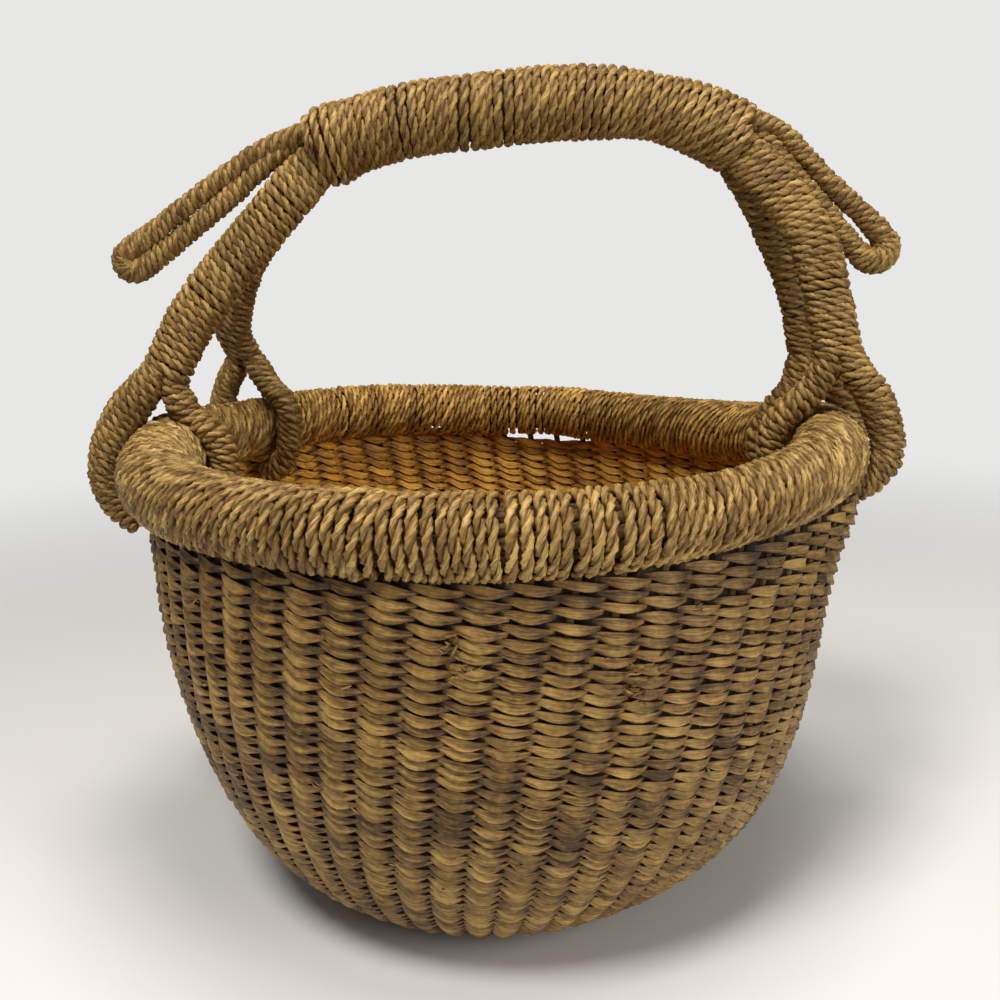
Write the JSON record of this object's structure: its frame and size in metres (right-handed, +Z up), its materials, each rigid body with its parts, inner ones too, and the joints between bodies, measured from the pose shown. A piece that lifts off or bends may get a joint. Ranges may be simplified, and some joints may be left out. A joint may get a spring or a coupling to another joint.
{
  "type": "bolga basket",
  "caption": "Round twined straw basket with a deep bowl, a thick wrapped rim and a fixed arched handle on forked legs.",
  "frame": {"origin": "on the floor under the middle of the base", "axes": "+Z up, the front faces -Y, the handle runs from left (-X) to right (+X)"},
  "size_m": [0.4012, 0.3584, 0.4021],
  "materials": {
    "wall_straw": "dry twined straw",
    "lining_straw": "dry twined straw, in shade",
    "stake_straw": "dry twisted straw",
    "cord_straw": "smooth two-ply straw cord",
    "rod_straw": "bundled straw",
    "leg_straw": "smooth two-ply straw cord"
  },
  "bodies": {
    "root": {"outer_weave": "wall_straw", "inner_weave": "lining_straw", "warp_stakes": "stake_straw", "rim_core": "stake_straw", "rim_wrap": "cord_straw", "front_arch_outer_rod": "rod_straw", "front_arch_inner_rod": "rod_straw", "rear_arch_outer_rod": "rod_straw", "rear_arch_inner_rod": "rod_straw", "grip_underwrap": "rod_straw", "grip_binding": "cord_straw", "front_left_outer_prong_wrap": "leg_straw", "front_left_inner_prong_wrap": "leg_straw", "front_right_outer_prong_wrap": "leg_straw", "front_right_inner_prong_wrap": "leg_straw", "rear_left_outer_prong_wrap": "leg_straw", "rear_left_inner_prong_wrap": "leg_straw", "rear_right_outer_prong_wrap": "leg_straw", "rear_right_inner_prong_wrap": "leg_straw", "front_left_leg_binding": "leg_straw", "front_right_leg_binding": "leg_straw", "rear_left_leg_binding": "leg_straw", "rear_right_leg_binding": "leg_straw", "left_ear_strand": "rod_straw", "left_ear_wrap": "leg_straw", "right_ear_strand": "rod_straw", "right_ear_wrap": "leg_straw"}
  },
  "joints": []
}
